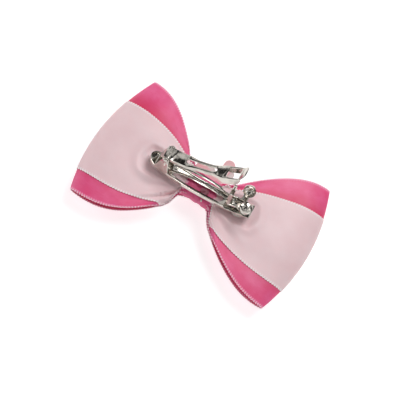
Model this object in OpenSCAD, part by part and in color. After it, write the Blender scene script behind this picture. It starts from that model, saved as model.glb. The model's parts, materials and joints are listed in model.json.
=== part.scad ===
// Ribbon bow on a spring barrette: a nickel-plated hair clip with a hinged clasp arm,
// an inner tension spring and a pinch catch, glued to the back of a two-layer satin bow.
// Row frame: +X along the bow, +Y across it, +Z out of its back, z = 0 where the bow rests.

/* [Bow] */
// Half the length of the bow, from its centre to the outermost fold
bow_half = 53; // [48:0.5:60]
// How far the folded edge curves back at its corners
fold_curve = 5.7; // [0:0.1:9]
// Half the width of the wide ribbon
wide_half = 32.3; // [28:0.1:34]
// Half the width of the narrow ribbon
narrow_half = 19.8; // [15:0.1:22]
// Offset of the narrow ribbon across the wide one, at the fold
narrow_shift = -2.2; // [-4:0.1:2]
// Half the width of the ribbons where the wrap gathers them
gather_half = 8; // [7:0.1:9]
// Height of the back of a loop over its fold
puff_back = 5.9; // [4:0.1:6]
// Depth of the front of a loop under its fold
puff_front = 7.85; // [7.85:0.05:9]
// Thickness of a ribbon layer
ribbon_t = 0.4; // [0.3:0.05:0.5]

/* [Wrap] */
// Place of the centre wrap along the bow
waist_x = -1.85; // [-3:0.05:0]
// Length of the centre wrap along the bow
wrap_l = 14.6; // [12:0.1:14.6]
// Half the thickness of the centre wrap
wrap_r = 4.4; // [4.2:0.1:4.4]
// Half the flat part of the wrap across the bow
wrap_flat = 2.4; // [1.5:0.1:3]

/* [Clip base] */
// Length of the base plate
base_l = 50; // [48:0.5:52]
// Half the width of the base plate
base_half = 4.15; // [4.15:0.05:4.4]
// Sheet thickness of the base plate
base_t = 0.6; // [0.5:0.05:0.6]
// Rise of the rim over the underside of the base
rim_h = 1.5; // [1.3:0.1:1.6]
// Depth of the bend of the base between its ends
base_sag = 3; // [2.5:0.1:3.5]
// Roll of the clip about its length
clip_roll = 18; // [12:0.5:18]
// Turn of the clip in the plane of the bow
clip_yaw = 2.7; // [-3:0.1:3]
// Centre of the clip on the bow
clip_at = [-3, -1.95, 17.3];

/* [Arm] */
// Height of the hinge pin over the ends of the base
pivot_z = 6.3; // [6:0.1:6.6]
// Distance of the hinge pin from the left end
pivot_x = 6.9; // [6.7:0.1:7.1]
// Angle of the arm over its closed place
arm_open = 20; // [0:1:60]
// Sheet thickness of the arm
arm_t = 0.5; // [0.4:0.05:0.5]
// Length of the bent plate of the arm, from the pin to the lip
arm_l = 33.4; // [33:0.1:33.6]
// Radius of the hinge pin
pin_r = 0.6; // [0.5:0.05:0.6]

/* [Catch] */
// Radius of a finger button
button_r = 2.8; // [2.4:0.1:2.9]
// Distance of a wing from the middle of the clip
wing_y = 2.6; // [2.5:0.05:2.7]

/* [Flower] */
// Number of petals in each layer
petals = 4; // [4:1:6]
// Centre of the flower on the front of the bow
flower_at = [2.2, 10.7];
// Distance from the flower's centre to a petal's round end
petal_reach = 9.4; // [8:0.1:10]
// Radius of a petal's round end
petal_r = 2.6; // [2.6:0.1:3.4]

/* [Hidden] */
$fn = 48;
eps = 0.01;
slip = 0.06;                                  // radial clearance of a turning fit
layer_gap = 0.35;                             // space between the two ribbons
fold_gap = 0.05;                              // half the split between a loop's two layers
edge_fall = 0.55;                             // share of a loop's height lost at its edges
// For the left loop and the right one: the slant of the fold, how sharply each ribbon fans
// out, and three guides for its middle line, near the wrap, halfway along and at the fold.
fold_skew = [2.2, 0];
wide_fan = [2.4, 1.95];
wide_drift = [[-4.8, -2.6, 0], [-3.6, -1.2, 0]];
narrow_fan = [3, 2.1];
narrow_drift = [
    [narrow_shift - 1.8, narrow_shift - 3.2, narrow_shift - 0.8],
    [narrow_shift - 2, narrow_shift - 1.4, narrow_shift + 0.85]
];
front_drift = [2.4, 1.8, 0];                  // lies the front of a loop behind its back
bow_z = puff_front + layer_gap + ribbon_t;    // height of the folds over the resting plane
wrap_half = wrap_l / 2;
base_bend = (pow(base_l / 2, 2) + pow(base_sag, 2)) / (2 * base_sag);
arm_chord = 36;
arm_sag = 2.8;
arm_bend = (pow(arm_chord / 2, 2) + pow(arm_sag, 2)) / (2 * arm_sag);
arm_under = pin_r + 0.3;                      // underside of the arm over the pin's axis
pink = "#e15a8c";
pale_pink = "#eed4d5";
nickel = "#c3bcb2";

// ---- shared shapes -------------------------------------------------------------------

// A curved sheet whose ends lie at z = 0 over x = 0 and x = chord, cut to the child outline.
// low and high are the heights of its two faces over that curve.
module bent_sheet(chord, sag, bend, low, high) {
    intersection() {
        translate([chord / 2, 0, bend - sag])
            rotate([90, 0, 0])
                difference() {
                    cylinder(r = bend - low, h = 4 * base_half, center = true, $fn = 200);
                    cylinder(r = bend - high, h = 5 * base_half, center = true, $fn = 200);
                }
        translate([0, 0, -2 * sag]) linear_extrude(2 * sag + 4) children();
    }
}

// A flat shape drawn in x and z, given a thickness about y = at.
module upright(at, thick) {
    translate([0, at + thick / 2, 0]) rotate([90, 0, 0]) linear_extrude(thick) children();
}

// A slot with round ends, from x = a to x = b.
module slot(a, b, half) {
    translate([a + half, -half]) square([b - a - 2 * half, 2 * half]);
    for (x = [a + half, b - half]) translate([x, 0]) circle(half);
}

// Two half circles joined by a flat, across y.
module stadium(r, flat) {
    for (s = [-1, 1]) translate([0, s * flat]) circle(r);
    square([2 * r, 2 * flat], center = true);
}

// Places its children, drawn in the clip's own frame, on the bow.
module on_bow() {
    translate(clip_at) rotate([0, 0, clip_yaw]) rotate([-clip_roll, 0, 0])
        translate([-base_l / 2, 0, 0]) children();
}

// ---- barrette ------------------------------------------------------------------------

module base_outline(inset = 0) {
    half = base_half - inset;
    corner = 1;
    translate([base_half, 0]) circle(half);
    translate([base_half, -half]) square([base_l - base_half - corner, 2 * half]);
    translate([base_half, corner - half]) square([base_l - base_half, 2 * (half - corner)]);
    for (s = [-1, 1]) translate([base_l - corner, s * (half - corner)]) circle(corner);
}

ear_t = 0.6;

module ear(side) {
    foot = [3.6, 10.2];
    upright(side * (base_half - ear_t / 2), ear_t)
        difference() {
            union() {
                polygon([
                    [foot[0], -1], [foot[1], -1.2], [foot[1] - 0.4, 0.6],
                    [pivot_x + 1.5, pivot_z], [pivot_x - 1.5, pivot_z], [foot[0] - 0.1, 0.6]
                ]);
                translate([pivot_x, pivot_z]) circle(1.5);
            }
            translate([pivot_x, pivot_z]) circle(pin_r + eps);
        }
}

module base_plate() {
    rim_end = 38;
    color(nickel) on_bow() {
        difference() {
            union() {
                bent_sheet(base_l, base_sag, base_bend, 0, base_t) base_outline();
                bent_sheet(base_l, base_sag, base_bend, 0, rim_h)
                    difference() {
                        base_outline();
                        base_outline(0.5);
                        translate([rim_end, -base_half - 1])
                            square([base_l, 2 * base_half + 2]);
                    }
            }
            translate([0, 0, -5]) linear_extrude(9) slot(12, 36.5, 2.1);
            translate([rivet_x, 0, -5]) cylinder(r = rivet_r + eps, h = 9);
        }
        for (side = [-1, 1]) ear(side);
    }
}

module hinge_pin() {
    head_t = 0.6;
    reach = base_half + head_t;
    color(nickel) on_bow() translate([pivot_x, 0, pivot_z]) rotate([90, 0, 0]) {
        cylinder(r = pin_r, h = 2 * reach, center = true);
        for (s = [-1, 1])
            translate([0, 0, s * (reach - head_t / 2 + eps)])
                cylinder(r = 1.05, h = head_t - 2 * eps, center = true);
    }
}

// The arm's outline as seen from above: channel, narrow waist, wide catch window, band.
module arm_outline(inset = 0) {
    half = [
        [-1.2, 3.4], [9, 3.4], [13, 2.6], [20.5, 2.6], [25, 3.95], [arm_l, 3.95]
    ];
    n = len(half);
    polygon([
        for (i = [0 : n - 1]) [half[i][0], half[i][1] - inset],
        for (i = [n - 1 : -1 : 0]) [half[i][0], inset - half[i][1]]
    ]);
}

// Everything here is about the hinge axis, with the arm in its closed place.
module closed_arm() {
    flange = 0.9;                             // depth of the side flanges under the plate
    slot_half = 1.35;
    window = [25.2, 32.5];
    window_half = 3.3;
    lug = arm_under + arm_t;
    difference() {
        union() {
            translate([0, 0, arm_under])
                bent_sheet(arm_chord, arm_sag, arm_bend, 0, arm_t) arm_outline();
            translate([0, 0, arm_under])
                bent_sheet(arm_chord, arm_sag, arm_bend, -flange, arm_t)
                    difference() {
                        arm_outline();
                        arm_outline(0.5);
                        translate([-2, -6]) square([3, 12]);
                    }
            window_skirt();
            for (s = [-1, 1])
                upright(s * 3.15, 0.5) {
                    circle(1.45);
                    translate([-1.2, 0]) square([3.4, lug - 0.35]);
                }
        }
        translate([0, 0, -4]) linear_extrude(9) slot(8.2, 22, slot_half);
        translate([0, 0, -4]) linear_extrude(9)
            polygon([
                [window[0] + 1.6, -window_half + 0.9], [window[0] + 3, -window_half],
                [window[1], -window_half], [window[1], window_half],
                [window[0] + 3, window_half], [window[0] + 1.6, window_half - 0.9]
            ]);
        rotate([90, 0, 0]) cylinder(r = pin_r + slip, h = 20, center = true);
    }
    arm_tail();
    arm_lip();
}

// The deep sides of the arm beside its catch window.
module window_skirt() {
    depth = 2.6;
    intersection() {
        translate([0, 0, arm_under])
            bent_sheet(arm_chord, arm_sag, arm_bend, -depth, arm_t)
                difference() {
                    arm_outline();
                    arm_outline(0.5);
                }
        upright(0, 10)
            polygon([
                [22.6, -2], [24.2, -3], [26, -3.8], [28.5, -4], [31, -3.2], [33, -1.6],
                [33.4, -0.6], [33.4, 2], [22.6, 2]
            ]);
    }
}

// The rounded tail that bends down behind the pin.
module arm_tail() {
    tail_l = 3.6;
    translate([-0.9, 0, lug_top() - 0.05]) rotate([0, -38, 0])
        translate([0, 0, -arm_t])
            linear_extrude(arm_t)
                intersection() {
                    circle(r = 3.4);
                    translate([-tail_l, -4]) square([tail_l + 0.3, 8]);
                }
}

function lug_top() = arm_under + arm_t;

// The lip, turned up past the band, that a fingernail lifts.
module arm_lip() {
    lip_l = 3;
    z = arm_under - arm_sag + arm_bend - sqrt(pow(arm_bend, 2) - pow(arm_l - arm_chord / 2, 2));
    translate([arm_l - 0.15, 0, z + 0.03]) rotate([0, -44, 0])
        linear_extrude(arm_t) {
            polygon([[0, -3.9], [lip_l - 0.6, -3.1], [lip_l, -2.4],
                     [lip_l, 2.4], [lip_l - 0.6, 3.1], [0, 3.9]]);
        }
}

module clasp_arm() {
    color(nickel) on_bow()
        translate([pivot_x, 0, pivot_z]) rotate([0, -arm_open, 0]) closed_arm();
}

// A slotted strip that bows up from the base towards the arm.
module tension_spring() {
    from = [8.9, -0.9];                       // x and z of its held end
    span = 30.4;
    rise = 3.1;
    spring_t = 0.3;
    lift = 2.4;                               // slope that keeps its free end off the base
    bend = (pow(span / 2, 2) + pow(rise, 2)) / (2 * rise);
    color(nickel) on_bow() translate([from[0], 0, from[1]]) rotate([0, -lift, 0])
        mirror([0, 0, 1])
            bent_sheet(span, rise, bend, -spring_t, 0)
                difference() {
                    union() {
                        translate([0, -2.4]) square([25.5, 4.8]);
                        translate([0, -1.7]) square([span, 3.4]);
                    }
                    slot(2.5, 28.6, 1.05);
                }
}

rivet_x = 44;
rivet_r = 0.8;
floor_low = base_t + 0.02;
floor_t = 0.4;

// The catch's floor and the strap across it that the spring's free end tucks under.
module catch_bracket() {
    color(nickel) on_bow() {
        difference() {
            bent_sheet(base_l, base_sag, base_bend, floor_low, floor_low + floor_t)
                translate([38.4, -3.45]) square([9.4, 6.9]);
            translate([rivet_x, 0, -5]) cylinder(r = rivet_r + eps, h = 9);
        }
        translate([40.3, -1.8, -0.9]) cube([1.3, 3.6, 1.9]);
    }
}

module catch_rivet() {
    color(nickel) on_bow() translate([rivet_x, 0, 0]) {
        translate([0, 0, -1.9]) cylinder(r = rivet_r, h = 2.2);
        translate([0, 0, 0.02]) cylinder(r1 = 1.45, r2 = 1.1, h = 0.4);
        translate([0, 0, -2.3]) cylinder(r = 1.3, h = 0.62);
    }
}

// A thin round cup: a finger button pressed from the wing's own sheet, apex along +Z.
module button_cup(depth, wall) {
    ball = (pow(button_r, 2) + pow(depth, 2)) / (2 * depth);
    difference() {
        intersection() {
            union() {
                translate([0, 0, depth - ball]) sphere(r = ball);
                translate([0, 0, -0.7]) cylinder(r = button_r, h = 1);
            }
            translate([0, 0, -0.7]) cylinder(r = button_r, h = depth + 2);
        }
        translate([0, 0, depth - ball]) sphere(r = ball - wall);
        translate([0, 0, -1]) cylinder(r = button_r - wall, h = 1.2);
    }
}

// One sprung wing of the catch: side leaf with a hook finger, neck and finger button.
// side is 1 for the upper wing; lean tips its button about the length of the clip.
module wing(side, lean, button_at) {
    sheet = 0.5;
    hook_z = pivot_z + 0.3;
    upright(side * wing_y, sheet)
        polygon([
            [37.7, -0.95], [45.6, 0.3], [46, 1.7], [43, 1.5], [39.6, 0.9],
            [39.1, hook_z + 0.4], [37.7, hook_z + 0.4]
        ]);
    translate([37.7, side > 0 ? wing_y : -wing_y - 0.6, hook_z]) cube([1.4, 0.6, 0.4]);
    hull() {
        translate([43, side * wing_y - sheet / 2, 1.1]) cube([2.9, sheet, 0.3]);
        translate(button_at) rotate([lean, 0, 0])
            translate([-1.3, side * (button_r - 0.25) - 0.15, -0.6]) cube([2.6, 0.3, 0.5]);
    }
    translate(button_at) rotate([lean, 0, 0]) button_cup(1.3, 0.4);
}

module upper_wing() {
    color(nickel) on_bow() wing(1, -114, [44.7, 4.8, 6.1]);
}

module lower_wing() {
    color(nickel) on_bow() wing(-1, 52, [46.6, -4.7, 5.6]);
}

// ---- glue and thread -----------------------------------------------------------------

module glue_bead(x, r, low, high) {
    color("#efe9df") on_bow() translate([x, 0, low]) cylinder(r = r, h = high - low);
}

module glue_left() { glue_bead(5, 2.6, -2.9, -1.0); }
module glue_middle() { glue_bead(28, 1.9, -4.1, -2.93); }
module glue_right() { glue_bead(44.5, 3, -3.9, -1.1); }

module thread_end() {
    color("white") translate([0.5, -5.5, bow_z + 2.8]) rotate([50, 0, 20])
        cylinder(r = 0.35, h = 1.6);
}

// ---- ribbon bow ----------------------------------------------------------------------

// Distance of the fold from the centre of the bow, at y across it, slanted by skew.
function fold_x(y, skew) =
    bow_half - fold_curve * pow(y / wide_half, 2) - skew * y / wide_half;

// Share of a loop's full height at the share u of the way from the wrap to the fold.
function rise(u, root, peak) =
    u < peak ? root + (1 - root) * sin(90 * u / peak)
             : pow(1 - pow((u - peak) / (1 - peak), 2.2), 0.6);

// Share of the ribbon's fan that is open at u.
function fan(u, sharp) = 1 - pow(1 - u, sharp);

// Place of a ribbon's middle line across the bow. drift holds three guides for it:
// near the wrap, halfway along the loop and at the fold.
function middle_y(u, drift) =
    min(1, u / 0.08)
    * (drift[0] * pow(1 - u, 2) + 2 * drift[1] * u * (1 - u) + drift[2] * pow(u, 2));

// A point of a ribbon face, out by off from the wide ribbon's outer face. The loop leaves
// the wrap at x = start.
function ribbon_point(u, v, start, skew, half, drift, sharp, puff, root, peak, off) =
    let (y = middle_y(u, drift)
             + v * (gather_half + (half - gather_half) * fan(u, sharp)),
         x = start + (fold_x(y, skew) + off - start) * u,
         z = (puff + off) * rise(u, root, peak) * (1 - edge_fall * pow(y / 33, 2)))
    [x, y, max(z, 0) + fold_gap];

// One layer of one loop, right of the centre and above the fold, as a closed thin sheet.
module ribbon_layer(start, skew, half, drift, sharp, puff, root, peak, off) {
    near = 7;                                 // steps from the wrap to the highest point
    far = 7;                                  // steps from there to the fold
    across = 10;
    us = concat([for (i = [0 : near]) peak * i / near],
                [for (i = [1 : far]) peak + (1 - peak) * sin(90 * i / far)]);
    cols = across + 1;
    face = len(us) * cols;
    points = [
        for (o = [off + ribbon_t, off], u = us, j = [0 : across])
            ribbon_point(u, 2 * j / across - 1, start, skew, half, drift, sharp, puff, root,
                         peak, o)
    ];
    last = len(us) - 1;
    quads = [
        for (i = [0 : last - 1], j = [0 : across - 1])
            let (a = i * cols + j) [a, a + 1, a + cols + 1, a + cols],
        for (i = [0 : last - 1], j = [0 : across - 1])
            let (a = face + i * cols + j) [a, a + cols, a + cols + 1, a + 1],
        for (i = [0 : last - 1], e = [0, across])
            let (a = i * cols + e, b = a + cols)
            e == 0 ? [a, b, b + face, a + face] : [a, a + face, b + face, b],
        for (j = [0 : across - 1], e = [0, last])
            let (a = e * cols + j, b = a + 1)
            e == 0 ? [a, a + face, b + face, b] : [a, b, b + face, a + face]
    ];
    triangles = [for (q = quads) each [[q[0], q[1], q[2]], [q[0], q[2], q[3]]]];
    polyhedron(points, triangles);
}

module placed_layer(left, front) {
    translate([0, 0, bow_z]) mirror([left ? 1 : 0, 0, 0]) mirror([0, 0, front ? 1 : 0])
        children();
}

// Both ribbons' layers of one loop face, from the sizes that differ between them.
module loop_layer(left, front, half, fans, drifts, off) {
    side = left ? 0 : 1;
    start = wrap_half + 0.1 + (left ? -waist_x : waist_x);
    skew = fold_skew[side];
    placed_layer(left, front)
        if (front)
            ribbon_layer(start, skew, half, drifts[side] + front_drift, fans[side],
                         puff_front, 0.45, 0.55, off);
        else
            ribbon_layer(start, skew, half, drifts[side], fans[side], puff_back, 0.6, 0.6,
                         off);
}

module wide_layer(left, front) {
    color(pink) loop_layer(left, front, wide_half, wide_fan, wide_drift, -ribbon_t);
}

module narrow_layer(left, front) {
    color(pale_pink) loop_layer(left, front, narrow_half, narrow_fan, narrow_drift, layer_gap);
}

module wide_left_back() { wide_layer(true, false); }
module wide_left_front() { wide_layer(true, true); }
module wide_right_back() { wide_layer(false, false); }
module wide_right_front() { wide_layer(false, true); }
module narrow_left_back() { narrow_layer(true, false); }
module narrow_left_front() { narrow_layer(true, true); }
module narrow_right_back() { narrow_layer(false, false); }
module narrow_right_front() { narrow_layer(false, true); }

module along_bow(length) {
    translate([waist_x - length / 2, 0, bow_z]) rotate([90, 0, 90]) linear_extrude(length)
        rotate(90) children();
}

core_r = wrap_r - 0.75;

// The gathered middle of both ribbons, inside the wrap.
module gathered_core() {
    color(pink) along_bow(wrap_l - 0.4) stadium(core_r, wrap_flat);
}

// Turns of thread that draw the ribbons together under the wrap.
module gather_thread() {
    turns = 4;
    pitch = 0.6;
    color("white")
        for (i = [0 : turns - 1])
            translate([(i - (turns - 1) / 2) * pitch, 0, 0])
                along_bow(0.3)
                    difference() {
                        stadium(core_r + 0.3, wrap_flat);
                        stadium(core_r + eps, wrap_flat);
                    }
}

module centre_wrap() {
    color(pink) along_bow(wrap_l)
        difference() {
            stadium(wrap_r, wrap_flat);
            stadium(wrap_r - ribbon_t, wrap_flat);
        }
}

// ---- flower --------------------------------------------------------------------------

petal_turn = 84;

module petal_layer(turn, scale_by, low, high) {
    translate([flower_at[0], flower_at[1], low]) linear_extrude(high - low) {
        circle(3);
        for (i = [0 : petals - 1])
            rotate(turn + 360 * i / petals) {
                translate([petal_reach * scale_by, 0]) circle(petal_r);
                polygon([
                    [0, -1.6], [petal_reach * scale_by, -petal_r],
                    [petal_reach * scale_by, petal_r], [0, 1.6]
                ]);
            }
    }
}

module back_petals() { color("#e2b0b2") petal_layer(petal_turn, 1, 1.92, 2.5); }
module front_petals() {
    color("#dccfcb") petal_layer(petal_turn - 17, 0.68, 1.3, 1.9);
}

module flower_bead() {
    color("#e9e2dc") translate([flower_at[0], flower_at[1], 0.2])
        cylinder(r1 = 1.3, r2 = 1.9, h = 1.08);
}

module flower_glue() {
    color("#efe9df") translate([flower_at[0], 4.9, 2.52]) cylinder(r = 2.2, h = 2.2);
}

base_plate();
hinge_pin();
clasp_arm();
tension_spring();
catch_bracket();
catch_rivet();
upper_wing();
lower_wing();
glue_left();
glue_middle();
glue_right();
wide_left_back();
wide_left_front();
wide_right_back();
wide_right_front();
narrow_left_back();
narrow_left_front();
narrow_right_back();
narrow_right_front();
gathered_core();
gather_thread();
centre_wrap();
thread_end();
back_petals();
front_petals();
flower_bead();
flower_glue();
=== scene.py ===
"""Looks of a spring barrette glued to a two-layer satin ribbon bow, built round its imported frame."""

import json
import logging
import math
from collections.abc import Callable
from dataclasses import dataclass, field
from enum import Enum

import bpy
from mathutils import Matrix, Vector, noise

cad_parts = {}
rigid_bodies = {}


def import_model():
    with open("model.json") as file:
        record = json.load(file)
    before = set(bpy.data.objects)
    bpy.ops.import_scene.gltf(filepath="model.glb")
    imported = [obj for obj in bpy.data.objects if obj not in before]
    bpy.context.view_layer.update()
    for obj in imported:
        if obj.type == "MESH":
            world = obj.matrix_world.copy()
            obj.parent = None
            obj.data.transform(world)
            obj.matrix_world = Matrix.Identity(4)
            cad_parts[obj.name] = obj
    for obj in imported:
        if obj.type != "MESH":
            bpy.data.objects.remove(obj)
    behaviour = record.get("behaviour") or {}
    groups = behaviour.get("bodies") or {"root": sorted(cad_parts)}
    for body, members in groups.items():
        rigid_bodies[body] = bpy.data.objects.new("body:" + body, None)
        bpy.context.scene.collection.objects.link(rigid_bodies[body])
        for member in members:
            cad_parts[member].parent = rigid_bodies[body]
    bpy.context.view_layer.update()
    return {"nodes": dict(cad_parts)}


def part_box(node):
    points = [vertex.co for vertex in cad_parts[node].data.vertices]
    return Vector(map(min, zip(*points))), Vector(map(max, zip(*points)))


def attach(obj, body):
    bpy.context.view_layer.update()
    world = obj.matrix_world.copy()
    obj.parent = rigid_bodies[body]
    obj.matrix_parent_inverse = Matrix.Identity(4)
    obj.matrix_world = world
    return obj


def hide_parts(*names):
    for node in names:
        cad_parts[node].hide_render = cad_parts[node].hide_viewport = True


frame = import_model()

MM = 0.001
ROOT_BODY = "bow_and_base"
LOG = logging.getLogger("barrette")

Colour = tuple[float, float, float]
Point = tuple[float, float, float]


class Side(Enum):
    """The two loops of the bow, by the sign of x."""

    LEFT = -1
    RIGHT = 1


class Face(Enum):
    """The two layers of a loop, by the sign of z."""

    FRONT = -1
    BACK = 1


# ---- small helpers -------------------------------------------------------------------


def smoothstep(low: float, high: float, value: float) -> float:
    """Ease from 0 at low to 1 at high."""
    t = min(1.0, max(0.0, (value - low) / (high - low)))
    return t * t * (3 - 2 * t)


def bump(value: float, middle: float, spread: float) -> float:
    """A bell of height 1 round middle."""
    return math.exp(-(((value - middle) / spread) ** 2))


def deselect_all() -> None:
    """Leave nothing selected, so that the next operator acts on its own piece only."""
    for other in bpy.context.scene.objects:
        if not other.hide_viewport:
            other.select_set(False)


def select_only(obj: bpy.types.Object) -> None:
    """Make obj the only selected object, and the active one.

    Args:
        obj: the object.
    """
    deselect_all()
    obj.select_set(True)
    bpy.context.view_layer.objects.active = obj


def settle(obj: bpy.types.Object) -> None:
    """Put an object's place into its mesh, so that the object sits at the origin unturned."""
    obj.data.transform(obj.matrix_world)
    obj.matrix_world = Matrix.Identity(4)


def apply_modifier(obj: bpy.types.Object, kind: str, **settings: object) -> None:
    """Add a modifier with these settings and apply it.

    Args:
        obj: the mesh object.
        kind: the modifier's type, such as "BEVEL".
        settings: values of the modifier's properties.
    """
    modifier = obj.modifiers.new(kind.title(), kind)
    for key, value in settings.items():
        setattr(modifier, key, value)
    select_only(obj)
    bpy.ops.object.modifier_apply(modifier=modifier.name)


def smooth_shade(obj: bpy.types.Object, degrees: float = 40) -> None:
    """Shade smooth, with edges sharper than this angle left crisp."""
    select_only(obj)
    bpy.ops.object.shade_smooth_by_angle(angle=math.radians(degrees))


def mesh_object(name: str, points: list[Point], faces: list[tuple[int, ...]]) -> bpy.types.Object:
    """Make a linked mesh object.

    Args:
        name: the piece's name.
        points: vertices, in metres.
        faces: vertex indices of each face.

    Returns:
        The new object.
    """
    mesh = bpy.data.meshes.new(name)
    mesh.from_pydata(points, [], faces)
    mesh.update()
    obj = bpy.data.objects.new(name, mesh)
    bpy.context.scene.collection.objects.link(obj)
    return obj


def dress(obj: bpy.types.Object, material: bpy.types.Material, slot: str) -> None:
    """Give a piece its material.

    Args:
        obj: the piece.
        material: its finish.
        slot: the record's material slot; not used.
    """
    obj.data.materials.clear()
    obj.data.materials.append(material)


def report(obj: bpy.types.Object) -> None:
    """Log a finished piece and its size."""
    LOG.info("%s: %d faces", obj.name, len(obj.data.polygons))


# ---- shader maths --------------------------------------------------------------------


class Wire:
    """A shader output that takes part in Python arithmetic."""

    def __init__(self, shader: "Shader", socket: bpy.types.NodeSocket) -> None:
        """Wrap one output socket of a shader's node."""
        self.shader = shader
        self.socket = socket

    def __add__(self, other: "Wire | float") -> "Wire":
        """Sum."""
        return self.shader.math("ADD", self, other)

    def __rsub__(self, other: float) -> "Wire":
        """Difference from a number."""
        return self.shader.math("SUBTRACT", other, self)

    def __mul__(self, other: "Wire | float") -> "Wire":
        """Product."""
        return self.shader.math("MULTIPLY", self, other)

    def absolute(self) -> "Wire":
        """Size without sign."""
        return self.shader.math("ABSOLUTE", self)

    def sine(self) -> "Wire":
        """Sine of an angle in radians."""
        return self.shader.math("SINE", self)

    def ramp(self, low: float, high: float) -> "Wire":
        """Ease from 0 at low to 1 at high.

        Args:
            low: the value at which the ease starts.
            high: the value at which it ends.

        Returns:
            The eased value.
        """
        made = self.shader.node(
            "ShaderNodeMapRange",
            {"interpolation_type": "SMOOTHSTEP"},
            {"Value": self, "From Min": low, "From Max": high},
        )
        return Wire(self.shader, made.outputs["Result"])


class Shader:
    """The nodes of one material or world, built by calls that read like formulas."""

    def __init__(self, owner: bpy.types.Material | bpy.types.World) -> None:
        """Start with no nodes on this material or world.

        Args:
            owner: the new material or world.
        """
        self.owner = owner
        self.owner.use_nodes = True
        self.tree = self.owner.node_tree
        self.tree.nodes.clear()

    @classmethod
    def named(cls, name: str) -> "Shader":
        """Start a new material of this name."""
        return cls(bpy.data.materials.new(name))

    def node(
        self, kind: str, settings: dict | None = None, inputs: dict | None = None
    ) -> bpy.types.Node:
        """Make one node.

        Args:
            kind: the node's type.
            settings: properties of the node, set first.
            inputs: values or wires for its sockets, by name or number.

        Returns:
            The node.
        """
        made = self.tree.nodes.new(kind)
        for key, value in (settings or {}).items():
            setattr(made, key, value)
        for key, value in (inputs or {}).items():
            if isinstance(value, Wire):
                self.tree.links.new(value.socket, made.inputs[key])
            else:
                made.inputs[key].default_value = value
        return made

    def math(self, operation: str, *terms: "Wire | float") -> Wire:
        """One step of arithmetic on wires and numbers."""
        made = self.node("ShaderNodeMath", {"operation": operation}, dict(enumerate(terms)))
        return Wire(self, made.outputs[0])

    def place(self) -> Wire:
        """The point on the piece, in metres."""
        return Wire(self, self.node("ShaderNodeTexCoord").outputs["Object"])

    def cloth_place(self) -> tuple[Wire, Wire]:
        """Millimetres across and along a ribbon, from its UV map.

        Returns:
            The two places.
        """
        uv = self.node("ShaderNodeUVMap", {"uv_map": "ribbon"})
        parts = self.node("ShaderNodeSeparateXYZ", None, {0: Wire(self, uv.outputs[0])})
        return Wire(self, parts.outputs[0]), Wire(self, parts.outputs[1])

    def vector(self, x: "Wire | float", y: "Wire | float", z: "Wire | float") -> Wire:
        """Three values as a vector."""
        made = self.node("ShaderNodeCombineXYZ", None, {0: x, 1: y, 2: z})
        return Wire(self, made.outputs[0])

    def noise(self, at: Wire, scale: float, detail: float = 3.0) -> Wire:
        """Cloudy noise from 0 to 1.

        Args:
            at: the point.
            scale: clouds to a unit of length.
            detail: how many finer layers are added.

        Returns:
            The value.
        """
        made = self.node(
            "ShaderNodeTexNoise", None, {"Vector": at, "Scale": scale, "Detail": detail}
        )
        return Wire(self, made.outputs[0])

    def tint(self, share: "Wire | float", low: Wire, high: Colour) -> Wire:
        """Lay a colour over the colours of a wire by share."""
        return self.blend(1 - share, high, low)

    def blend(self, share: "Wire | float", low: Colour, high: "Colour | Wire") -> Wire:
        """Mix two colours by share.

        Args:
            share: how much of high there is, from 0 to 1.
            low: the first colour.
            high: the second colour.

        Returns:
            The mixed colour.
        """
        made = self.node("ShaderNodeMix", {"data_type": "RGBA"})
        for socket, value in ((0, share), (6, low), (7, high)):
            if isinstance(value, Wire):
                self.tree.links.new(value.socket, made.inputs[socket])
            else:
                made.inputs[socket].default_value = (*value, 1) if socket else value
        return Wire(self, made.outputs[2])

    def relief(self, height: Wire, depth: float) -> Wire:
        """A bump from a height from 0 to 1, standing out by depth metres.

        Args:
            height: the height at each point.
            depth: how far the highest point stands out, in metres.

        Returns:
            The bent normal.
        """
        made = self.node(
            "ShaderNodeBump", None, {"Height": height, "Distance": depth, "Strength": 1.0}
        )
        return Wire(self, made.outputs[0])

    def surface(self, **sockets: "Wire | float | tuple") -> bpy.types.Material:
        """Finish the material with a Principled surface.

        Args:
            sockets: values or wires, named like the sockets with _ for a space.

        Returns:
            The material.
        """
        inputs = {key.replace("_", " "): value for key, value in sockets.items()}
        made = self.node("ShaderNodeBsdfPrincipled", None, inputs)
        self.node("ShaderNodeOutputMaterial", None, {0: Wire(self, made.outputs[0])})
        return self.owner


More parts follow.
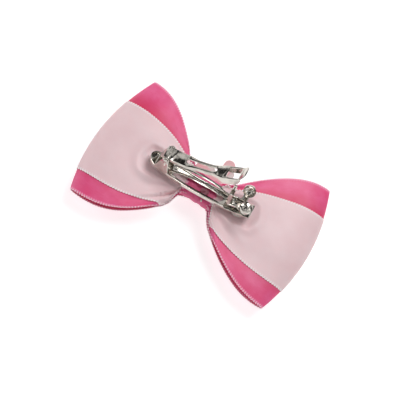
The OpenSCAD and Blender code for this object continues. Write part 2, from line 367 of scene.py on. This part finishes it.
@dataclass(frozen=True)
class Satin:
    """Woven satin ribbon with a picot selvedge, and painted shade: a darker red laid over the cloth
    near the pale ribbon's edges, as strong as shade.
    """

    name: str
    colour: Colour
    light: Colour
    half_width: float
    selvedge: float = 1.3
    picot_pitch: float = 1.25
    picot: Colour = (0.95, 0.66, 0.74)
    # Painted shade: the colour that stands in for the shadow beside and under the pale ribbon, and how
    # strongly it is laid on.
    painted_shade_colour: Colour = (0.60, 0.012, 0.05)
    shade: float = 0.0

    def material(self) -> bpy.types.Material:
        """Build the finish.

        Returns:
            The material.
        """
        s = Shader.named(self.name)
        across, along = s.cloth_place()
        threads = s.noise(s.vector(across * 9.0, along * 0.35, 0.0), 1.0, 2.0)
        slub = s.noise(s.vector(across * 0.12, along * 0.09, 0.0), 1.0, 3.0)
        edge = across.absolute().ramp(self.half_width - self.selvedge, self.half_width - 0.2)
        stitch = (along * (2 * math.pi / self.picot_pitch)).sine() * 0.5 + 0.5
        grain = (across * (2 * math.pi / 0.22)).sine() * 0.5 + 0.5
        tone = (slub * 0.55 + threads * 0.25 + edge * stitch * 0.5).ramp(0.15, 0.95)
        height = grain * 0.25 + threads * 0.35 + edge * stitch * 0.9
        # Painted shade: darkest up to 17 mm across, fading out by 27 mm, where the pale ribbon's edges
        # shadow the hot satin.
        near = (1 - across.absolute().ramp(17.0, 27.0)) * self.shade
        cloth = s.tint(near, s.blend(tone, self.colour, self.light), self.painted_shade_colour)
        return s.surface(
            Base_Color=s.tint(edge * stitch * 0.7, cloth, self.picot),
            Roughness=threads * 0.10 + edge * 0.18 + 0.34,
            Subsurface_Weight=0.2,
            Subsurface_Radius=(1.0, 0.35, 0.35),
            Subsurface_Scale=0.0012,
            Sheen_Weight=0.12,
            Sheen_Roughness=0.35,
            Sheen_Tint=(*self.light, 1.0),
            Specular_IOR_Level=0.45,
            Normal=s.relief(height, 0.00005),
        )


@dataclass(frozen=True)
class Nickel:
    """Bright nickel plate on pressed spring steel."""

    name: str = "nickel_plate"
    colour: Colour = (0.63, 0.595, 0.54)
    dull: Colour = (0.40, 0.375, 0.34)
    polish: float = 0.07

    def material(self) -> bpy.types.Material:
        """Build the finish.

        Returns:
            The material.
        """
        s = Shader.named(self.name)
        at = s.place()
        cloud = s.noise(at, 260.0, 3.0)
        speck = s.noise(at, 2400.0, 2.0)
        worn = cloud.ramp(0.42, 0.72)
        return s.surface(
            Base_Color=s.blend(worn * 0.8, self.colour, self.dull),
            Metallic=1.0,
            Roughness=worn * 0.07 + speck * 0.04 + self.polish,
            Normal=s.relief(cloud * 0.9 + speck * 0.1, 0.00009),
        )


@dataclass(frozen=True)
class Felt:
    """Short matted wool felt."""

    name: str
    colour: Colour
    light: Colour

    def material(self) -> bpy.types.Material:
        """Build the finish.

        Returns:
            The material.
        """
        s = Shader.named(self.name)
        at = s.place()
        fibre = s.noise(at, 3200.0, 4.0)
        cloud = s.noise(at, 420.0, 3.0)
        return s.surface(
            Base_Color=s.blend((fibre * 0.7 + cloud * 0.3).ramp(0.3, 0.7), self.colour, self.light),
            Roughness=fibre * 0.1 + 0.82,
            Sheen_Weight=0.5,
            Sheen_Roughness=0.5,
            Normal=s.relief(fibre * 0.7 + cloud * 0.3, 0.00012),
        )


@dataclass(frozen=True)
class Glue:
    """Set hot-melt glue, cloudy and slightly yellow."""

    name: str = "clear_glue"
    colour: Colour = (0.74, 0.70, 0.63)
    light: Colour = (0.86, 0.83, 0.78)

    def material(self) -> bpy.types.Material:
        """Build the finish.

        Returns:
            The material.
        """
        s = Shader.named(self.name)
        cloud = s.noise(s.place(), 700.0, 3.0)
        return s.surface(
            Base_Color=s.blend(cloud.ramp(0.3, 0.7), self.colour, self.light),
            Roughness=cloud * 0.2 + 0.18,
            Coat_Weight=0.3,
            Normal=s.relief(cloud, 0.00008),
        )


@dataclass(frozen=True)
class Thread:
    """Twisted cotton thread."""

    name: str = "white_thread"
    colour: Colour = (0.78, 0.75, 0.72)
    light: Colour = (0.92, 0.90, 0.88)

    def material(self) -> bpy.types.Material:
        """Build the finish.

        Returns:
            The material.
        """
        s = Shader.named(self.name)
        fibre = s.noise(s.place(), 5200.0, 3.0)
        return s.surface(
            Base_Color=s.blend(fibre.ramp(0.35, 0.65), self.colour, self.light),
            Roughness=fibre * 0.1 + 0.7,
            Sheen_Weight=0.3,
            Normal=s.relief(fibre, 0.00006),
        )


@dataclass(frozen=True)
class Pearl:
    """Pearly plastic bead."""

    name: str = "pearl"
    colour: Colour = (0.80, 0.72, 0.68)
    light: Colour = (0.90, 0.86, 0.82)

    def material(self) -> bpy.types.Material:
        """Build the finish.

        Returns:
            The material.
        """
        s = Shader.named(self.name)
        cloud = s.noise(s.place(), 380.0, 2.0)
        return s.surface(
            Base_Color=s.blend(cloud.ramp(0.3, 0.7), self.colour, self.light),
            Roughness=cloud * 0.08 + 0.16,
            Coat_Weight=0.6,
            Coat_Roughness=0.08,
            Normal=s.relief(cloud, 0.00002),
        )


# ---- ribbon bow ----------------------------------------------------------------------


@dataclass(frozen=True)
class LoopLayer:
    """How one face of a loop stands off the plane of the folds, in millimetres."""

    face: Face
    puff: float
    root: float
    peak: float

    def rise(self, u: float) -> float:
        """Share of the full height at the share u of the way from the wrap to the fold.

        Args:
            u: share of the way from the wrap to the fold.

        Returns:
            The height, from 0 to 1.
        """
        if u < self.peak:
            return self.root + (1 - self.root) * math.sin(math.pi / 2 * u / self.peak)
        past = (u - self.peak) / (1 - self.peak)
        return max(0.0, 1 - past**2.2) ** 0.6


@dataclass
class Bow:
    """Sizes of the whole bow, read from the frame, in millimetres."""

    half_length: float = 53.0
    half_width: float = 32.3
    fold_z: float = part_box("wide_left_back")[0].z / MM - 0.05
    root_left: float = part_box("wide_left_back")[1].x / MM
    root_right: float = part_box("wide_right_back")[0].x / MM
    gather_half: float = 8.0
    fold_curve: float = 5.7
    fold_skew: float = 2.2
    edge_fall: float = 0.55
    front_drift: tuple[float, float] = (2.4, 1.8)
    clip_middle: tuple[float, float] = (-3.0, -2.3)
    clip_turn: float = 2.7
    clip_ends: tuple[float, float] = (25.0, 28.0)
    clip_sides: tuple[float, float] = (4.6, 7.4)
    back: LoopLayer = LoopLayer(Face.BACK, 5.9, 0.6, 0.6)
    front: LoopLayer = LoopLayer(Face.FRONT, 7.85, 0.45, 0.55)

    def root(self, side: Side) -> float:
        """Distance of a loop's inner end from the middle of the bow."""
        return -self.root_left if side is Side.LEFT else self.root_right

    def fold_x(self, side: Side, y: float) -> float:
        """Distance of a loop's fold from the middle of the bow.

        Args:
            side: which loop.
            y: place across the bow, in millimetres.

        Returns:
            The distance in millimetres.
        """
        share = y / self.half_width
        skew = self.fold_skew if side is Side.LEFT else 0.0
        return self.half_length - self.fold_curve * share**2 - skew * share

    def clip_place(self, x: float, y: float) -> tuple[float, float]:
        """A point of the bow as seen from the middle of the clip: along it and across it.

        Args:
            x: place along the bow, in millimetres.
            y: place across the bow, in millimetres.

        Returns:
            Millimetres along the clip and across it.
        """
        turn = math.radians(self.clip_turn)
        dx, dy = x - self.clip_middle[0], y - self.clip_middle[1]
        return dx * math.cos(turn) + dy * math.sin(turn), dy * math.cos(turn) - dx * math.sin(turn)

    def clip_cover(self, x: float, y: float) -> float:
        """1 under the base of the clip, easing to 0 round it.

        Args:
            x: place along the bow, in millimetres.
            y: place across the bow, in millimetres.

        Returns:
            The cover, from 0 to 1.
        """
        along, across = self.clip_place(x, y)
        past_end = smoothstep(*self.clip_ends, abs(along))
        past_side = smoothstep(*self.clip_sides, abs(across))
        return (1 - past_end) * (1 - past_side)

    def drape(
        self, side: Side, layer: LoopLayer, u: float, v: float, x: float, y: float
    ) -> float:
        """How far gathers and soft folds lift a ribbon at a point.

        Args:
            side: which loop.
            layer: which face of the loop.
            u: share of the way from the wrap to the fold.
            v: place across the wide ribbon, from -1 to 1.
            x: place along the bow, in millimetres.
            y: place across the bow, in millimetres.

        Returns:
            The lift in millimetres, away from the plane of the folds.
        """
        turn = {
            (Side.LEFT, Face.BACK): 0.6,
            (Side.RIGHT, Face.BACK): 2.3,
            (Side.LEFT, Face.FRONT): 4.0,
            (Side.RIGHT, Face.FRONT): 5.2,
        }[side, layer.face]
        warp = v + 0.06 * math.sin(7 * v + turn)
        pleats = math.cos(math.pi * 5.0 * warp + turn) * 1.1 * math.exp(-((u / 0.19) ** 1.4))
        creases = math.cos(math.pi * 9.5 * warp + 2 * turn) * 0.55 * math.exp(-((u / 0.21) ** 1.8))
        waves = math.sin(math.pi * u) * (
            0.42 * math.sin(math.pi * 1.5 * v + turn) + 0.2 * math.sin(math.pi * 3.1 * v - turn)
        )
        cloud = noise.noise(Vector((x * 0.07, y * 0.09, 3.0 * turn))) * 0.5 * math.sin(math.pi * u)
        lift = pleats + creases + waves + cloud
        if layer.face is Face.BACK:
            if side is Side.LEFT:
                corner = smoothstep(0.3, 0.75, -v) * smoothstep(0.02, 0.12, u)
                lift += (pleats + creases) * 0.45 * corner
            along, across = self.clip_place(x, y)
            cover = self.clip_cover(x, y)
            ring = bump(math.hypot(max(abs(along) - 22.5, 0.0), across), 7.2, 2.4)
            swell = ring * smoothstep(14.0, 22.0, abs(along)) * 0.9
            lift = lift * (1 - cover) - 0.12 * cover + swell * (1 - cover)
        return lift


@dataclass
class Ribbon:
    """One length of satin that runs round both loops of the bow."""

    name: str
    bow: Bow
    finish: Satin
    slot: str
    half_width: float
    fans: tuple[float, float]
    drifts: tuple[Point, Point]
    pinch: float
    flare: float
    offset: float
    stands_for: tuple[str, ...]
    flat: tuple[float, float]
    rests_on: tuple[str, ...]
    thickness: float = 0.18
    across_steps: int = 92
    loop_steps: int = 46
    middle_steps: int = 8
    bead: float = 0.36
    edges: tuple[list[Vector], list[Vector]] = field(default_factory=lambda: ([], []))

    def point(self, side: Side, layer: LoopLayer, u: float, v: float) -> Vector:
        """A point of the ribbon on one loop, in millimetres.

        Args:
            side: which loop.
            layer: which face of the loop.
            u: share of the way from the wrap to the fold.
            v: place across the ribbon, from -1 to 1.

        Returns:
            The point in the row frame.
        """
        bow = self.bow
        root = bow.root(side)
        which = 0 if side is Side.LEFT else 1
        sharp, (first, halfway, last) = self.fans[which], self.drifts[which]
        if layer.face is Face.FRONT:
            first, halfway = first + bow.front_drift[0], halfway + bow.front_drift[1]
        spread = bow.gather_half + (self.half_width - bow.gather_half) * (1 - (1 - u) ** sharp)
        spread *= 1 - self.pinch * (1 - smoothstep(0.0, 0.05, u))
        if v < 0 and side is Side.LEFT:
            spread += self.flare * smoothstep(0.0, 0.04, u) * math.exp(-u / 0.13)
        drift = first * (1 - u) ** 2 + 2 * halfway * u * (1 - u) + last * u**2
        y = drift * min(1.0, u / 0.08) + v * spread
        x = root + (bow.fold_x(side, y) + self.offset - root) * u
        z = (layer.puff + self.offset) * layer.rise(u) * (1 - bow.edge_fall * (y / 33) ** 2)
        fade = 1 - smoothstep(0.86, 1.0, u)
        wide = bow.gather_half + (bow.half_width - bow.gather_half) * (1 - (1 - u) ** 2.2)
        z += bow.drape(side, layer, u, y / wide, side.value * x, y) * fade
        z += 0.12 * abs(v) ** 6 * fade * (1 if self.offset > 0 else -1)
        z += self.offset * 3.2 * math.exp(-u / 0.15)
        return Vector((side.value * x, y, bow.fold_z + layer.face.value * max(z, 0.0)))

    def stations(self) -> list[Callable[[float], Vector]]:
        """The ribbon's cross lines, in order along its length, each a function of v.

        Returns:
            One function for each cross line, which gives its point at v, from -1 to 1.
        """
        bow = self.bow
        lines: list[Callable[[float], Vector]] = []

        def loop(side: Side, layer: LoopLayer, outwards: bool) -> None:
            """Add the cross lines of one layer of one loop.

            Args:
                side: which loop.
                layer: which face of it.
                outwards: from the wrap to the fold, or back.
            """
            steps = [1 - (1 - i / self.loop_steps) ** 1.5 for i in range(self.loop_steps + 1)]
            for u in steps if outwards else steps[::-1][1:]:
                lines.append(lambda v, u=u: self.point(side, layer, u, v))

        def middle(layer: LoopLayer, start: float, end: float) -> None:
            """Add the cross lines under the wrap, between two shares of its half length.

            Args:
                layer: which face of the bow.
                start: share of the half length at the first line.
                end: share of the half length at the last line.
            """
            for i in range(1, self.middle_steps):
                share = start + (end - start) * i / self.middle_steps
                near = Side.LEFT if share < 0 else Side.RIGHT
                x = share * bow.root(near)
                squeeze = 0.78 + 0.22 * abs(share) ** 3

                def line(
                    v: float, x: float = x, near: Side = near, squeeze: float = squeeze
                ) -> Vector:
                    """A point across the gathered middle.

                    Args:
                        v: place across the ribbon, from -1 to 1.
                        x: place along the bow, in millimetres.
                        near: the loop on this side of the middle.
                        squeeze: how far the gathers close up.

                    Returns:
                        The point in the row frame.
                    """
                    p = self.point(near, layer, 0.0, v)
                    return Vector((x, p.y * squeeze, bow.fold_z + (p.z - bow.fold_z) * squeeze))

                lines.append(line)

        middle(bow.back, -0.05, -1.0)
        loop(Side.LEFT, bow.back, True)
        loop(Side.LEFT, bow.front, False)
        middle(bow.front, -1.0, 1.0)
        loop(Side.RIGHT, bow.front, True)
        loop(Side.RIGHT, bow.back, False)
        middle(bow.back, 1.0, 0.05)
        return lines

    def build(self) -> bpy.types.Object:
        """Make the sheet, with its width and length in the UV map.

        Returns:
            The finished piece.
        """
        lines = self.stations()
        cols = self.across_steps + 1
        vs = [2 * j / self.across_steps - 1 for j in range(cols)]
        rows = [[line(v) for v in vs] for line in lines]
        self.edges = ([r[0] for r in rows], [r[-1] for r in rows])
        middle = cols // 2
        run = [0.0]
        for a, b in zip(rows, rows[1:]):
            run.append(run[-1] + (b[middle] - a[middle]).length)
        points = [tuple(p * MM) for row in rows for p in row]
        faces = [
            (i * cols + j, i * cols + j + 1, (i + 1) * cols + j + 1, (i + 1) * cols + j)
            for i in range(len(rows) - 1)
            for j in range(cols - 1)
        ]
        obj = mesh_object(self.name, points, faces)
        layer = obj.data.uv_layers.new(name="ribbon")
        for loop in obj.data.loops:
            i, j = divmod(loop.vertex_index, cols)
            layer.data[loop.index].uv = (vs[j] * self.half_width, run[i])
        apply_modifier(
            obj, "SOLIDIFY", thickness=self.thickness * MM, offset=0.0, use_even_offset=False
        )
        smooth_shade(obj, 70)
        dress(obj, self.finish.material(), self.slot)
        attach(obj, ROOT_BODY)
        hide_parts(*self.stands_for)
        picot = self.picot()
        list(self.rests_on)
        report(obj)
        return obj

    def picot(self) -> bpy.types.Object:
        """Make the row of tiny thread loops along both edges of the ribbon.

        Returns:
            The finished piece.
        """
        pitch = self.finish.picot_pitch
        deselect_all()
        bpy.ops.mesh.primitive_ico_sphere_add(subdivisions=1, radius=self.bead * MM)
        bead = bpy.context.object
        form = [v.co.copy() for v in bead.data.vertices]
        cells = [tuple(p.vertices) for p in bead.data.polygons]
        bpy.data.objects.remove(bead)
        points: list[Point] = []
        faces: list[tuple[int, ...]] = []
        for edge in self.edges:
            gone, due = 0.0, 0.0
            for a, b in zip(edge, edge[1:]):
                step = b - a
                while due <= gone + step.length:
                    at = a.lerp(b, (due - gone) / max(step.length, 1e-9)) * MM
                    turn = step.to_track_quat("X", "Z").to_matrix()
                    start = len(points)
                    points += [tuple(at + turn @ Vector((c.x * 1.25, c.y, c.z * 0.4))) for c in form]
                    faces += [tuple(start + k for k in cell) for cell in cells]
                    due += pitch
                gone += step.length
        obj = mesh_object(self.name + "_picot", points, faces)
        smooth_shade(obj, 60)
        layer = obj.data.uv_layers.new(name="ribbon")
        for loop in obj.data.loops:
            layer.data[loop.index].uv = (self.half_width, loop.vertex_index * 0.02)
        thread = Thread(self.name + "_picot", self.finish.picot, self.finish.picot)
        dress(obj, thread.material(), self.slot)
        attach(obj, ROOT_BODY)
        report(obj)
        return obj


@dataclass
class Wrap:
    """The hot-pink band round the waist of the bow."""

    bow: Bow
    finish: Satin
    radius: float = 4.22
    flat_half: float = 2.4
    turns: int = 88
    steps: int = 40

    def outline(self, angle: float, grow: float) -> tuple[float, float]:
        """A point of the band's section across the bow: y and z.

        Args:
            angle: place round the band, in radians.
            grow: how far the pleats lift it, in millimetres.

        Returns:
            The place across the bow and the height over the folds, in millimetres.
        """
        y, z, radius = math.cos(angle), math.sin(angle), self.radius + grow
        return y * radius + self.flat_half * math.tanh(5 * y), z * radius

    def build(self) -> bpy.types.Object:
        """Make the gathered band as one sheet with soft pleats round it.

        Returns:
            The finished piece.
        """
        low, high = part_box("centre_wrap")
        half, middle = (high.x - low.x) / 2 / MM, (high.x + low.x) / 2 / MM
        points: list[Point] = []
        for i in range(self.steps + 1):
            share = 2 * i / self.steps - 1
            for k in range(self.turns + 1):
                angle = 2 * math.pi * k / self.turns - 2.2
                pleat = math.cos(math.pi * 3.4 * share + 0.5 * math.sin(angle + 1.0)) * 0.16
                fine = math.cos(math.pi * 9.0 * share + angle) * 0.04
                flare = 0.10 * abs(share) ** 6
                hollow = -0.22 * (1 - share * share) * (0.5 + 0.5 * math.sin(angle * 2))
                y, z = self.outline(angle, pleat + fine + flare + hollow)
                x = middle + share * half + 0.35 * math.sin(angle + 0.7) * (1 - abs(share) ** 4)
                points.append((x * MM, y * MM, (self.bow.fold_z + z) * MM))
        cols = self.turns + 1
        faces = [
            (i * cols + k, (i + 1) * cols + k, (i + 1) * cols + k + 1, i * cols + k + 1)
            for i in range(self.steps)
            for k in range(self.turns)
        ]
        obj = mesh_object("centre_band", points, faces)
        layer = obj.data.uv_layers.new(name="ribbon")
        around = 2 * math.pi * self.radius + 4 * self.flat_half
        for loop in obj.data.loops:
            i, k = divmod(loop.vertex_index, cols)
            layer.data[loop.index].uv = ((2 * i / self.steps - 1) * 8.0, k / self.turns * around)
        apply_modifier(obj, "SOLIDIFY", thickness=0.16 * MM, offset=-1.0)
        smooth_shade(obj, 70)
        dress(obj, self.finish.material(), "hot_pink_satin")
        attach(obj, ROOT_BODY)
        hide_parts("centre_wrap")
        report(obj)
        return obj


# ---- flower --------------------------------------------------------------------------


@dataclass
class PetalLayer:
    """One cut-out layer of the felt flower."""

    name: str
    node: str
    finish: Felt
    slot: str
    turn: float
    reach: float
    petals: int = 4
    tip: float = 2.6
    cup: float = 0.175
    hub: float = 3.0
    rings: int = 14
    spokes: int = 180

    def radius(self, angle: float) -> float:
        """Distance of the layer's outline from the flower's middle, in millimetres.

        Args:
            angle: direction from the middle, in radians.

        Returns:
            The distance.
        """
        step = 2 * math.pi / self.petals
        off = (angle - self.turn + step / 2) % step - step / 2
        across = abs(math.sin(off)) * self.reach
        if across < self.tip:
            return self.reach * math.cos(off) + math.sqrt(self.tip**2 - across**2)
        past = abs(off) - math.asin(self.tip / self.reach)
        return self.hub + (self.reach - self.hub) * max(0.0, 1 - past * 9)

    def build(self) -> bpy.types.Object:
        """Make the layer from a disc, shaped petal by petal.

        Returns:
            The finished piece.
        """
        low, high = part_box(self.node)
        hub_low, hub_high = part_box("flower_bead")
        centre = (hub_low + hub_high) / 2 / MM
        centre.z = (low.z + high.z) / 2 / MM
        rings, spokes = self.rings, self.spokes
        points: list[Point] = [tuple(centre * MM)]
        for r in range(1, rings + 1):
            share = r / rings
            for k in range(spokes):
                angle = 2 * math.pi * k / spokes
                out = self.radius(angle) * share
                crease = math.cos(self.petals * (angle - self.turn)) * 0.09 * share
                z = centre.z - self.cup * share**2 + crease * (1 - share)
                points.append(
                    (
                        (centre.x + math.cos(angle) * out) * MM,
                        (centre.y + math.sin(angle) * out) * MM,
                        z * MM,
                    )
                )
        faces: list[tuple[int, ...]] = [
            (0, 1 + k, 1 + (k + 1) % spokes) for k in range(spokes)
        ]
        for r in range(rings - 1):
            a, b = 1 + r * spokes, 1 + (r + 1) * spokes
            faces += [
                (a + k, b + k, b + (k + 1) % spokes, a + (k + 1) % spokes) for k in range(spokes)
            ]
        obj = mesh_object(self.name, points, faces)
        apply_modifier(obj, "SOLIDIFY", thickness=0.55 * MM, offset=0.0)
        apply_modifier(obj, "BEVEL", width=0.12 * MM, segments=2, limit_method="ANGLE")
        smooth_shade(obj, 60)
        dress(obj, self.finish.material(), self.slot)
        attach(obj, ROOT_BODY)
        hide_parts(self.node)
        squares = sum(self.radius(2 * math.pi * k / spokes) ** 2 for k in range(spokes))
        cut = squares * math.pi / spokes
        cut * MM * MM
        report(obj)
        return obj


# ---- barrette ------------------------------------------------------------------------


@dataclass
class PressedSheet:
    """A metal piece of the clip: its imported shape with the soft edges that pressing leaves."""

    node: str
    body: str
    finish: bpy.types.Material
    edge: float = 0.09
    segments: int = 2

    def build(self) -> bpy.types.Object:
        """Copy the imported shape, join its triangles, round its edges and stand for it.

        Returns:
            The finished piece.
        """
        source = frame["nodes"][self.node]
        obj = bpy.data.objects.new(self.node + "_plated", source.data.copy())
        bpy.context.scene.collection.objects.link(obj)
        select_only(obj)
        bpy.ops.object.mode_set(mode="EDIT")
        bpy.ops.mesh.select_all(action="SELECT")
        bpy.ops.mesh.remove_doubles(threshold=0.000002)
        bpy.ops.mesh.dissolve_limited(angle_limit=math.radians(0.6))
        bpy.ops.object.mode_set(mode="OBJECT")
        apply_modifier(
            obj,
            "BEVEL",
            width=self.edge * MM,
            segments=self.segments,
            limit_method="ANGLE",
            angle_limit=math.radians(35),
            miter_outer="MITER_ARC",
        )
        smooth_shade(obj, 30)
        dress(obj, self.finish, "nickel_plate")
        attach(obj, self.body)
        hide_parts(self.node)
        report(obj)
        return obj


# ---- studio --------------------------------------------------------------------------


@dataclass
class Studio:
    """Camera, floor and lights."""

    elevation: float = 66.0
    roll: float = 32.0
    distance: float = 0.6
    lens: float = 119.0
    aim_right: float = 1.35
    aim_down: float = 7.2
    patch_scale: float = 2.9
    patch_dark: float = 0.02
    patch_bright: float = 0.95
    fill_loss: float = 0.4

    def camera(self, bow: Bow) -> None:
        """Stand the camera over the front edge of the bow, rolled so that the bow runs downhill.

        Args:
            bow: the sizes of the bow.
        """
        tilt, roll = math.radians(self.elevation), math.radians(self.roll)
        level = Vector((1, 0, 0))
        rise = Vector((0, math.sin(tilt), math.cos(tilt)))
        back = Vector((0, -math.cos(tilt), math.sin(tilt)))
        right = level * math.cos(roll) + rise * math.sin(roll)
        up = rise * math.cos(roll) - level * math.sin(roll)
        aim = Vector((0, 0, bow.fold_z)) * MM + right * self.aim_right * MM - up * self.aim_down * MM
        data = bpy.data.cameras.new("camera")
        data.lens = self.lens
        data.clip_start = 0.01
        obj = bpy.data.objects.new("camera", data)
        bpy.context.scene.collection.objects.link(obj)
        turn = Matrix((right, up, back)).transposed()
        obj.matrix_world = Matrix.Translation(aim + back * self.distance) @ turn.to_4x4()
        bpy.context.scene.camera = obj

    def lamp(self, name: str, at: Point, towards: Point, size: float, power: float) -> None:
        """Add one square softbox.

        Args:
            name: the lamp's name.
            at: where it stands, in metres.
            towards: the point that it faces.
            size: length of a side, in metres.
            power: watts.
        """
        data = bpy.data.lights.new(name, "AREA")
        data.size = size
        data.energy = power
        obj = bpy.data.objects.new(name, data)
        bpy.context.scene.collection.objects.link(obj)
        aim = Vector(towards) - Vector(at)
        turn = aim.to_track_quat("-Z", "Y").to_matrix().to_4x4()
        obj.matrix_world = Matrix.Translation(at) @ turn

    def lights(self) -> None:
        """Set the softboxes and a pale surround."""
        self.lamp("key", (0.10, 0.30, 0.62), (0, 0, 0), 0.36, 3.2)
        self.lamp("left", (-0.62, -0.05, 0.34), (0, 0, 0), 0.30, 1.1)
        self.lamp("right", (0.60, -0.15, 0.42), (0, 0, 0), 0.30, 0.35)
        s = Shader(bpy.data.worlds.new("surround"))
        at = Wire(s, s.node("ShaderNodeTexCoord").outputs["Generated"])
        patches = s.node(
            "ShaderNodeMapRange",
            None,
            {
                "Value": s.noise(at, self.patch_scale, 1.0),
                "From Min": 0.47,
                "From Max": 0.53,
                "To Min": self.patch_dark,
                "To Max": self.patch_bright,
            },
        )
        ray = s.node("ShaderNodeLightPath")
        fill = 1 - Wire(s, ray.outputs["Is Diffuse Ray"]) * self.fill_loss
        room = s.node(
            "ShaderNodeBackground", None, {"Strength": fill * Wire(s, patches.outputs["Result"])}
        )
        backdrop = s.node(
            "ShaderNodeBackground", None, {"Strength": 1.0, "Color": (1.0, 1.0, 1.0, 1.0)}
        )
        seen = Wire(s, ray.outputs["Is Camera Ray"])
        mix = s.node(
            "ShaderNodeMixShader",
            None,
            {0: seen, 1: Wire(s, room.outputs[0]), 2: Wire(s, backdrop.outputs[0])},
        )
        s.node("ShaderNodeOutputWorld", None, {0: Wire(s, mix.outputs[0])})
        bpy.context.scene.world = s.owner
        bpy.context.scene.view_settings.view_transform = "Standard"

    def floor(self) -> None:
        """Lay a plain pale floor under the bow."""
        deselect_all()
        bpy.ops.mesh.primitive_plane_add(size=6.0, location=(0, 0, -0.0002))
        obj = bpy.context.object
        obj.name = "floor"
        settle(obj)
        s = Shader.named("pale_floor")
        cloud = s.noise(s.place(), 40.0, 2.0)
        tone = s.blend(cloud, (0.50, 0.50, 0.50), (0.54, 0.54, 0.54))
        obj.data.materials.append(
            s.surface(
                Base_Color=tone,
                Roughness=0.9,
                Emission_Color=(1.0, 1.0, 1.0, 1.0),
                Emission_Strength=0.72,
            )
        )

    def build(self, bow: Bow) -> None:
        """Set up camera, floor and lights.

        Args:
            bow: the sizes of the bow.
        """
        self.camera(bow)
        self.floor()
        self.lights()


# ---- the whole clip ------------------------------------------------------------------

HOT_PINK: Colour = (0.74, 0.05, 0.18)
HOT_PINK_LIGHT: Colour = (0.92, 0.25, 0.47)
PALE_PINK: Colour = (0.84, 0.555, 0.58)
PALE_PINK_LIGHT: Colour = (0.92, 0.68, 0.70)

METAL = {
    "base_plate": ROOT_BODY,
    "hinge_pin": ROOT_BODY,
    "clasp_arm": "arm",
    "tension_spring": "spring",
    "catch_bracket": ROOT_BODY,
    "catch_rivet": ROOT_BODY,
    "upper_wing": "upper_wing",
    "lower_wing": "lower_wing",
}


def layers_of(width: str) -> tuple[str, ...]:
    """Names of the four packed layers of one ribbon."""
    sides, faces = ("left", "right"), ("back", "front")
    return tuple(f"{width}_{side}_{face}" for side in sides for face in faces)


def main() -> None:
    """Build every sub-assembly in order and dress it."""
    logging.basicConfig(level=logging.INFO, format="%(message)s")
    bow = Bow()
    Studio().build(bow)
    # The hot satin carries the painted shade band at 0.6 strength.
    hot = Satin("hot_pink_satin", HOT_PINK, HOT_PINK_LIGHT, bow.half_width, shade=0.6)
    pale = Satin("pale_pink_satin", PALE_PINK, PALE_PINK_LIGHT, 19.8, picot=(0.97, 0.88, 0.88))
    Ribbon(
        name="wide_ribbon",
        bow=bow,
        finish=hot,
        slot="hot_pink_satin",
        half_width=bow.half_width,
        fans=(2.4, 1.95),
        drifts=((-4.8, -2.6, 0.0), (-3.6, -1.2, 0.0)),
        pinch=0.1,
        flare=0.0,
        offset=-0.2,
        stands_for=(*layers_of("wide"), "gathered_core"),
        flat=(0.065, 0.222),
        rests_on=(),
    ).build()
    Ribbon(
        name="narrow_ribbon",
        bow=bow,
        finish=pale,
        slot="pale_pink_satin",
        half_width=19.8,
        fans=(3.0, 2.1),
        drifts=((-4.0, -5.4, -3.0), (-4.2, -3.6, -1.35)),
        pinch=0.42,
        flare=5.0,
        offset=0.12,
        stands_for=layers_of("narrow"),
        flat=(0.040, 0.224),
        rests_on=("wide_ribbon",),
    ).build()
    Wrap(bow, Satin("wrap_satin", HOT_PINK, HOT_PINK_LIGHT, 8.0)).build()
    salmon = Felt("salmon_felt", (0.74, 0.40, 0.42), (0.82, 0.52, 0.53))
    bone = Felt("pale_felt", (0.66, 0.57, 0.55), (0.76, 0.68, 0.66))
    turn = math.radians(84)
    PetalLayer("petals_behind", "back_petals", salmon, "salmon_felt", turn, 9.4).build()
    turn -= math.radians(17)
    PetalLayer("petals_before", "front_petals", bone, "pale_felt", turn, 6.4).build()
    nickel = Nickel().material()
    brushed = Nickel("satin_rivet", (0.90, 0.81, 0.73), (0.78, 0.68, 0.60), 0.36).material()
    for node, body in METAL.items():
        PressedSheet(node, body, brushed if node == "catch_rivet" else nickel).build()
    for node, finish in (
        ("glue_left", Glue()),
        # The middle glue is partly real and partly painted shade: the colour of glue over pink satin,
        # darkened to stand in for the shadow in the base's slot.
        ("glue_middle", Glue("glue_over_pink_painted_shade", (0.30, 0.06, 0.10), (0.42, 0.12, 0.17))),
        ("glue_right", Glue()),
        ("flower_glue", Glue()),
        ("gather_thread", Thread()),
        ("thread_end", Thread()),
        ("flower_bead", Pearl()),
    ):
        obj = frame["nodes"][node]
        obj.data.materials.clear()
        obj.data.materials.append(finish.material())


if __name__ == "__main__":
    main()
